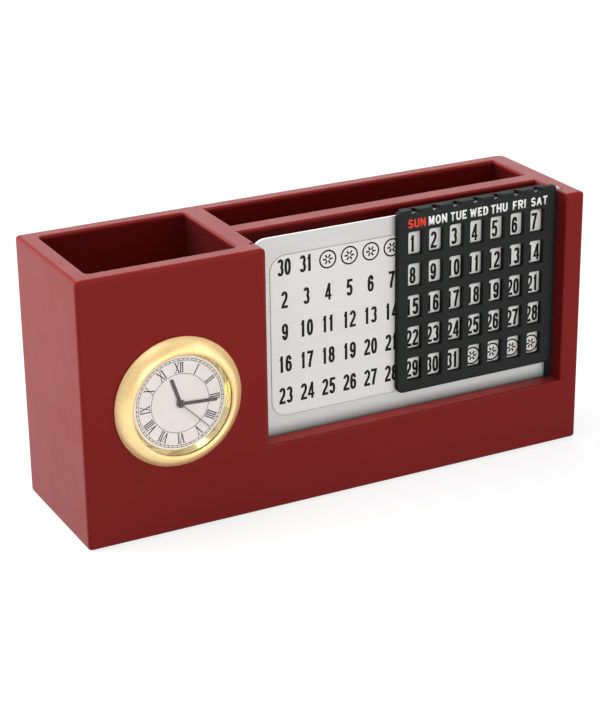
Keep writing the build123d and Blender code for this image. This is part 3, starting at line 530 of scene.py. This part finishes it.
def character_strokes(character, w, h):
    """Centre lines of a character in a box w by h, run past its edges where an end is cut square."""
    r = w / 2
    full = bowl((r, h / 2), (r, h / 2), 0, 360)
    post = [(0, -h), (0, 2 * h)]
    far_post = [(w, -h), (w, 2 * h)]
    top_bar = [(-w, h), (2 * w, h)]
    base_bar = [(-w, 0), (2 * w, 0)]
    six = [bowl((r, h / 2), (r, h / 2), 25, 180) + [(0, 0.29 * h)],
           bowl((r, 0.29 * h), (r, 0.29 * h), 0, 360)]
    half_turn = [[(w - x, h - z) for x, z in stroke] for stroke in six]
    hook = bowl((0.5 * w, 0.75 * h), (0.5 * w, 0.25 * h), 90, -90)
    table = {
        "0": [full],
        "1": [[(1.3 * r, -h), (1.3 * r, 2 * h)],
              [(1.3 * r, 0.98 * h), (0.85 * r, 0.84 * h), (0.0, 0.76 * h)]],
        "2": [bowl((r, 0.74 * h), (r, 0.26 * h), 170, -15)
              + [(1.62 * r, 0.5 * h), (0.3 * r, 0.17 * h), (0, 0)], base_bar],
        "3": [bowl((r, 0.76 * h), (0.93 * r, 0.24 * h), 160, -90),
              bowl((r, 0.26 * h), (r, 0.26 * h), 90, -160)],
        "4": [[(1.55 * r, -h), (1.55 * r, 2 * h)], [(1.6 * r, 1.12 * h), (-0.15 * r, 0.16 * h)],
              [(-w, 0.22 * h), (2 * w, 0.22 * h)]],
        "5": [[(0.3 * r, h), (2 * w, h)], [(0.42 * r, 1.1 * h), (0.12 * r, 0.47 * h)],
              bowl((r, 0.31 * h), (r, 0.31 * h), 146, -160)],
        "6": six,
        "7": [top_bar, [(w, h), (1.25 * r, 0.55 * h), (0.75 * r, 0.2 * h), (0.62 * r, -0.1 * h)]],
        "8": [bowl((r, 0.76 * h), (0.9 * r, 0.24 * h), 0, 360), bowl((r, 0.27 * h), (r, 0.27 * h), 0, 360)],
        "9": half_turn,
        "A": [[(-0.06 * w, -0.1 * h), (r, h)], [(r, h), (1.06 * w, -0.1 * h)],
              [(0.2 * w, 0.3 * h), (0.8 * w, 0.3 * h)]],
        "D": [post, [(0, h)] + bowl((0.4 * w, h / 2), (0.6 * w, h / 2), 90, -90) + [(0, 0)]],
        "E": [post, [(0, h), (2 * w, h)], [(0, h / 2), (0.92 * w, h / 2)], [(0, 0), (2 * w, 0)]],
        "F": [post, [(0, h), (2 * w, h)], [(0, h / 2), (0.9 * w, h / 2)]],
        "H": [post, far_post, [(0, h / 2), (w, h / 2)]],
        "I": [post],
        "M": [post, far_post, [(0, 1.2 * h), (r, 0)], [(r, 0), (w, 1.2 * h)]],
        "N": [post, far_post, [(-0.1 * w, 1.15 * h), (1.1 * w, -0.15 * h)]],
        "O": [full],
        "R": [post, [(0, h)] + hook + [(0, h / 2)], [(0.5 * w, h / 2), (1.05 * w, -0.1 * h)]],
        "S": [bowl((r, 0.75 * h), (r, 0.25 * h), 15, 250) + bowl((r, 0.25 * h), (r, 0.25 * h), 70, -165)],
        "T": [top_bar, [(r, -h), (r, h)]],
        "U": [[(0, 2 * h)] + bowl((r, 0.3 * h), (r, 0.3 * h), 180, 360) + [(w, 2 * h)]],
        "W": [[(0, 1.2 * h), (0.25 * w, -0.05 * h)], [(0.25 * w, -0.05 * h), (0.5 * w, h)],
              [(0.5 * w, h), (0.75 * w, -0.05 * h)], [(0.75 * w, -0.05 * h), (w, 1.2 * h)]],
    }
    return table[character]


def new_object(name, data):
    made = bpy.data.objects.new(name, data)
    scene.collection.objects.link(made)
    return made


def ribbon(points, stroke, closed):
    """A flat ribbon along points, as a mesh."""
    profile_curve = bpy.data.curves.new("ribbon_profile", "CURVE")
    profile_curve.dimensions = "2D"
    corners = profile_curve.splines.new("POLY")
    corners.points.add(3)
    for point, (x, y) in zip(corners.points, ((-1, -1), (1, -1), (1, 1), (-1, 1))):
        point.co = (x * stroke / 2, y / 2, 0, 1)
    corners.use_cyclic_u = True
    profile = new_object("ribbon_profile", profile_curve)
    path = bpy.data.curves.new("ribbon_path", "CURVE")
    path.dimensions = "3D"
    path.twist_mode = "Z_UP"
    path.bevel_mode = "OBJECT"
    path.bevel_object = profile
    path.use_fill_caps = True
    line = path.splines.new("POLY")
    line.points.add(len(points) - 1)
    for point, (x, y) in zip(line.points, points):
        point.co = (x, y, 0, 1)
    line.use_cyclic_u = closed
    swept = new_object("ribbon_path", path)
    mesh = bpy.data.meshes.new_from_object(swept.evaluated_get(bpy.context.evaluated_depsgraph_get()))
    for used in (swept, profile):
        bpy.data.objects.remove(used)
    bm = bmesh.new()
    bm.from_mesh(mesh)
    bmesh.ops.remove_doubles(bm, verts=bm.verts, dist=weld_distance)
    bmesh.ops.recalc_face_normals(bm, faces=bm.faces)
    bm.to_mesh(mesh)
    bm.free()
    return mesh


def united(meshes, width, height):
    """The meshes as one solid, cut to the character's box."""
    bm = bmesh.new()
    bmesh.ops.create_cube(bm, size=1.0)
    bmesh.ops.scale(bm, vec=(width, height, 3), verts=bm.verts)
    bmesh.ops.translate(bm, vec=(width / 2, height / 2, 0), verts=bm.verts)
    box_mesh = bpy.data.meshes.new("character_box")
    bm.to_mesh(box_mesh)
    bm.free()
    first, *rest = [new_object("stroke", mesh) for mesh in meshes]
    box = new_object("character_box", box_mesh)
    for other, operation in [(stroke, "UNION") for stroke in rest] + [(box, "INTERSECT")]:
        join = first.modifiers.new("join", "BOOLEAN")
        join.operation = operation
        join.solver = "MANIFOLD"
        join.object = other
    mesh = bpy.data.meshes.new_from_object(first.evaluated_get(bpy.context.evaluated_depsgraph_get()))
    for used in (first, box, *rest):
        bpy.data.objects.remove(used)
    return mesh


def character(name, width, stroke):
    """A character one unit high and one unit thick, from the left and the base line."""
    meshes = []
    for points in character_strokes(name, width - stroke, 1 - stroke):
        moved = [(x + stroke / 2, y + stroke / 2) for x, y in points]
        closed = (Vector(moved[0]) - Vector(moved[-1])).length < same_point
        meshes.append(ribbon(moved[:-1] if closed else moved, stroke, closed))
    return united(meshes, width, 1.0)


def lay(bm, mesh, matrix):
    """Adds a placed copy of a mesh to bm."""
    before = len(bm.verts)
    bm.from_mesh(mesh)
    bm.verts.ensure_lookup_table()
    bmesh.ops.transform(bm, matrix=matrix, verts=bm.verts[before:])


def lay_word(bm, letters, widths, gap, height, centre, turn=0.0):
    """Lays letters side by side, centred on a point of a front face and turned clockwise about it."""
    length = sum(widths) + gap * (len(widths) - 1)
    left = -length / 2
    turned = Matrix.Translation(centre) @ Matrix.Rotation(turn, 4, "Y") @ front_turn
    scale = Matrix.Diagonal((height, height, ink_thickness * 2, 1))
    for letter, width in zip(letters, widths):
        lay(bm, letter, turned @ scale @ Matrix.Translation((left, -0.5, 0)))
        left += width + gap


def piece(name, bm, body, material):
    """Turns bm into a finished piece that rides on a body."""
    mesh = bpy.data.meshes.new(name)
    bm.to_mesh(mesh)
    bm.free()
    mesh.materials.append(material)
    made = new_object(name, mesh)
    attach(made, body)


def add_ring(bm, centre, radius, line, steps):
    """A thin printed ring round a point of a front face."""
    corners = [bm.verts.new(centre + Vector((radius + across, along, 0)))
               for across, along in ((-line / 2, -ink_thickness), (line / 2, -ink_thickness),
                                     (line / 2, ink_thickness), (-line / 2, ink_thickness))]
    edges = [bm.edges.new((corners[index], corners[(index + 1) % 4])) for index in range(4)]
    bmesh.ops.spin(bm, geom=corners + edges, cent=centre, axis=(0, 1, 0), angle=radians(360), steps=steps,
                   use_merge=True)
    bmesh.ops.recalc_face_normals(bm, faces=bm.faces)


digits = {digit: character(digit, date_width_share, date_stroke_share) for digit in "0123456789"}
digits["1"] = character("1", one_width_share, date_stroke_share)
digits["4"] = character("4", date_width_share + four_extra_share, date_stroke_share * four_stroke_share)
digit_widths = {digit: date_width_share for digit in digits}
digit_widths["1"] = one_advance_share

letter_widths = {"A": 0.68, "D": 0.62, "E": 0.55, "F": 0.56, "H": 0.64, "I": 0.2, "M": 0.72, "N": 0.66,
                 "O": 0.66, "R": 0.66, "S": 0.6, "T": 0.58, "U": 0.64, "W": 0.88}
letters = {letter: character(letter, width, weekday_stroke_share) for letter, width in letter_widths.items()}
letters["W"] = character("W", letter_widths["W"], weekday_stroke_share * weekday_w_stroke_share)


# ---------------------------------------------------------------- dates on the film

label_low, label_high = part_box("date_label")
label_centre = (label_low.x + label_high.x) / 2
# Each column from the top down, with zero for a day that is free of a date.
columns = [
    (30, 2, 9, 16, 23), (31, 3, 10, 17, 24), (0, 4, 11, 18, 25), (0, 5, 12, 19, 26),
    (0, 6, 13, 20, 27), (0, 7, 14, 21, 28), (1, 8, 15, 22, 29), (2, 9, 16, 23, 30),
    (3, 10, 17, 24, 31), (4, 11, 18, 25, 0), (5, 12, 19, 26, 0), (6, 13, 20, 27, 0),
    (7, 14, 21, 28, 0),
]
dates = bmesh.new()
free_marks = bmesh.new()
ray = ribbon([(0.18, 0), (0.6, 0)], 0.2, False)
for column, days in enumerate(columns):
    for row, day in enumerate(days):
        across = label_centre + (column - date_columns // 2) * column_pitch + date_shift
        centre = Vector((across, label_low.y, label_high.z - top_row_drop - row * row_pitch))
        if day:
            text = str(day)
            lay_word(dates, [digits[digit] for digit in text], [digit_widths[digit] for digit in text],
                     date_gap_share, date_height, centre)
            continue
        add_ring(free_marks, centre, free_ring_radius, free_ring_line, free_ring_steps)
        for petal in range(free_mark_petals):
            turn = radians(360 / free_mark_petals * petal)
            turned = Matrix.Translation(centre) @ Matrix.Rotation(turn, 4, "Y") @ front_turn
            scale = Matrix.Diagonal((free_ring_radius, free_ring_radius, ink_thickness * 2, 1))
            lay(free_marks, ray, turned @ scale)
outline = []
corner_x = (label_high.x - label_low.x) / 2 - film_corner
corner_z = (label_high.z - label_low.z) / 2 - film_corner
for across, up, start in ((1, 1, 0), (-1, 1, 90), (-1, -1, 180), (1, -1, 270)):
    for turn in range(0, 91, 10):
        angle = radians(start + turn)
        outline.append((across * corner_x + film_corner * cos(angle),
                        up * corner_z + film_corner * sin(angle)))
film_middle = Vector((label_centre, label_low.y, (label_low.z + label_high.z) / 2))
edge = bmesh.new()
lay(edge, ribbon([(x / mm, z / mm) for x, z in outline], film_edge_line / mm, True),
    Matrix.Translation(film_middle) @ front_turn @ Matrix.Diagonal((mm, mm, ink_thickness, 1)))
piece("film_edge", edge, "calendar", edge_ink)
piece("date_numbers", dates, "calendar", date_ink)
piece("free_day_marks", free_marks, "calendar", date_ink)

# ---------------------------------------------------------------- weekdays on the frame

frame_low, frame_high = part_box("week_frame")
day_names = ("SUN", "MON", "TUE", "WED", "THU", "FRI", "SAT")
frame_centre = label_centre + (date_columns - len(day_names)) / 2 * column_pitch + weekday_shift
sunday = bmesh.new()
weekdays = bmesh.new()
for index, name in enumerate(day_names):
    across = frame_centre + (index - len(day_names) // 2) * column_pitch
    centre = Vector((across, frame_low.y, frame_high.z - weekday_drop))
    lay_word(sunday if index == 0 else weekdays, [letters[letter] for letter in name],
             [letter_widths[letter] for letter in name], weekday_gap_share, weekday_height, centre)
piece("sunday_name", sunday, "week_slider", red_ink)
piece("weekday_names", weekdays, "week_slider", white_ink)

# ---------------------------------------------------------------- clock face

dial_low, dial_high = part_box("clock_dial")
dial_centre = Vector(((dial_low.x + dial_high.x) / 2, dial_low.y, (dial_low.z + dial_high.z) / 2))


def numeral(width, lines):
    """A numeral's part from ribbons of their own stroke, cut to its box."""
    return united([ribbon(points, stroke, False) for points, stroke in lines], width, 1.0)


def serif_line(left, right, on_top):
    """A serif from left to right, on the top line or on the base line."""
    height = 1 - serif / 2 if on_top else serif / 2
    return [(left, height), (right, height)], serif


serif = 0.055
thin_stroke = 0.065
thick_stroke = 0.11
numeral_parts = {
    "I": numeral(0.2, [([(0.1, -1), (0.1, 2)], thick_stroke),
                       serif_line(0, 0.2, False), serif_line(0, 0.2, True)]),
    "V": numeral(0.62, [([(0.12, 1.05), (0.33, 0)], thick_stroke),
                        ([(0.31, 0), (0.5, 1.05)], thin_stroke),
                        serif_line(0, 0.26, True), serif_line(0.4, 0.62, True)]),
    "X": numeral(0.6, [([(0.1, 1.05), (0.5, -0.05)], thick_stroke),
                       ([(0.5, 1.05), (0.1, -0.05)], thin_stroke),
                       serif_line(0, 0.23, True), serif_line(0.37, 0.6, True),
                       serif_line(0, 0.23, False), serif_line(0.37, 0.6, False)]),
}
numeral_widths = {"I": 0.2, "V": 0.55, "X": 0.55}
numerals = bmesh.new()
for hour, name in enumerate(("XII", "I", "II", "III", "IIII", "V", "VI", "VII", "VIII", "IX", "X", "XI")):
    turn = radians(30 * hour)
    centre = dial_centre + Matrix.Rotation(turn, 3, "Y") @ Vector((0, 0, numeral_radius))
    lay_word(numerals, [numeral_parts[part] for part in name], [numeral_widths[part] for part in name],
             0.0, numeral_height, centre, turn)
piece("dial_numerals", numerals, "clock_insert", dial_ink)

track = bmesh.new()
for radius in (track_outer_radius, track_inner_radius, centre_ring_radius):
    add_ring(track, dial_centre, radius, dial_line, dial_ring_steps)
for minute in range(60):
    line = hour_tick_line if minute % 5 == 0 else tick_line
    turned = Matrix.Translation(dial_centre) @ Matrix.Rotation(radians(6 * minute), 4, "Y")
    middle = Matrix.Translation((0, 0, (track_outer_radius + track_inner_radius) / 2))
    scale = Matrix.Diagonal((line, ink_thickness * 2, track_outer_radius - track_inner_radius, 1))
    bmesh.ops.create_cube(track, size=1.0, matrix=turned @ middle @ scale)
piece("minute_track", track, "clock_insert", dial_ink)

# ---------------------------------------------------------------- floor, backdrop and light

floor_half_size = 4.0
floor_grey = (0.3, 0.3, 0.3, 1)
floor_glow = 0.75
floor_glow_in_gloss = 0.25
air_levels = (("Is Camera Ray", 1.0), ("Is Transmission Ray", 1.0), ("Is Glossy Ray", 0.88))
air_least = 0.2
lit_point = Vector((0, 0, 0.05))
# Name, place and side in metres, power in watts.
lamps = (
    ("rear_lamp", (-0.45, 0.4, 1.35), 1.5, 22.5),
    ("front_lamp", (-0.15, -1.65, 0.38), 1.4, 20.5),
    ("left_lamp", (-1.28, 0.95, 0.22), 1.5, 51.0),
    ("right_lamp", (1.2, -1.1, 0.7), 1.8, 11.0),
    ("back_lamp", (0.75, 1.5, 0.75), 1.5, 9.5),
)


def node_maths(tree, operation, *values):
    return add_node(tree, "ShaderNodeMath", dict(enumerate(values)), operation=operation).outputs[0]


# The floor glows only where it is seen, in a mirror or through glass too, and lights nothing itself.
floor_paint = bpy.data.materials.new("floor_paint")
floor_paint.use_nodes = True
tree = floor_paint.node_tree
tree.nodes.clear()
seen = add_node(tree, "ShaderNodeLightPath").outputs
either = node_maths(tree, "MAXIMUM", seen["Is Camera Ray"], seen["Is Glossy Ray"])
any_of_them = node_maths(tree, "MAXIMUM", either, seen["Is Transmission Ray"])
glow_share = node_maths(tree, "MULTIPLY", any_of_them, floor_glow)
strength = node_maths(tree, "MULTIPLY_ADD", seen["Is Glossy Ray"], floor_glow_in_gloss, glow_share)
matt = add_node(tree, "ShaderNodeBsdfDiffuse", {"Color": floor_grey})
glow = add_node(tree, "ShaderNodeEmission", {"Strength": strength})
both = add_node(tree, "ShaderNodeAddShader", {0: matt.outputs[0], 1: glow.outputs[0]})
add_node(tree, "ShaderNodeOutputMaterial", {"Surface": both.outputs[0]})

floor_mesh = bpy.data.meshes.new("studio_floor")
bm = bmesh.new()
bmesh.ops.create_grid(bm, x_segments=1, y_segments=1, size=floor_half_size)
bm.to_mesh(floor_mesh)
bm.free()
floor_mesh.materials.append(floor_paint)
floor = new_object("studio_floor", floor_mesh)

world = bpy.data.worlds.new("studio_air")
world.use_nodes = True
scene.world = world
tree = world.node_tree
tree.nodes.clear()
seen = add_node(tree, "ShaderNodeLightPath").outputs
strength = air_least
for kind, level in air_levels:
    strength = node_maths(tree, "MAXIMUM", node_maths(tree, "MULTIPLY", seen[kind], level), strength)
air = add_node(tree, "ShaderNodeBackground", {"Color": (1, 1, 1, 1), "Strength": strength})
add_node(tree, "ShaderNodeOutputWorld", {"Surface": air.outputs[0]})

for name, place, side, power in lamps:
    lamp = bpy.data.lights.new(name, "AREA")
    lamp.shape = "SQUARE"
    lamp.size = side
    lamp.energy = power
    made = new_object(name, lamp)
    made.location = place
    made.rotation_mode = "QUATERNION"
    made.rotation_quaternion = (lit_point - Vector(place)).to_track_quat("-Z", "Y")

# ---------------------------------------------------------------- camera

camera_place = Vector((-0.3288, -0.6288, 0.3306))
azimuth, elevation, roll = radians(-27.248), radians(22.032), radians(-0.731)
back = Vector((sin(azimuth) * cos(elevation), -cos(azimuth) * cos(elevation), sin(elevation)))
level = (-back).cross(Vector((0, 0, 1))).normalized()
upright = level.cross(-back)
right = level * cos(roll) + upright * sin(roll)
up = upright * cos(roll) - level * sin(roll)
camera_data = bpy.data.cameras.new("photo_camera")
camera_data.lens = 103.2
camera_data.sensor_width = 36
camera = new_object("photo_camera", camera_data)
camera.matrix_world = Matrix((
    (right.x, up.x, back.x, camera_place.x),
    (right.y, up.y, back.y, camera_place.y),
    (right.z, up.z, back.z, camera_place.z),
    (0, 0, 0, 1),
))
scene.camera = camera
scene.view_settings.view_transform = "Standard"
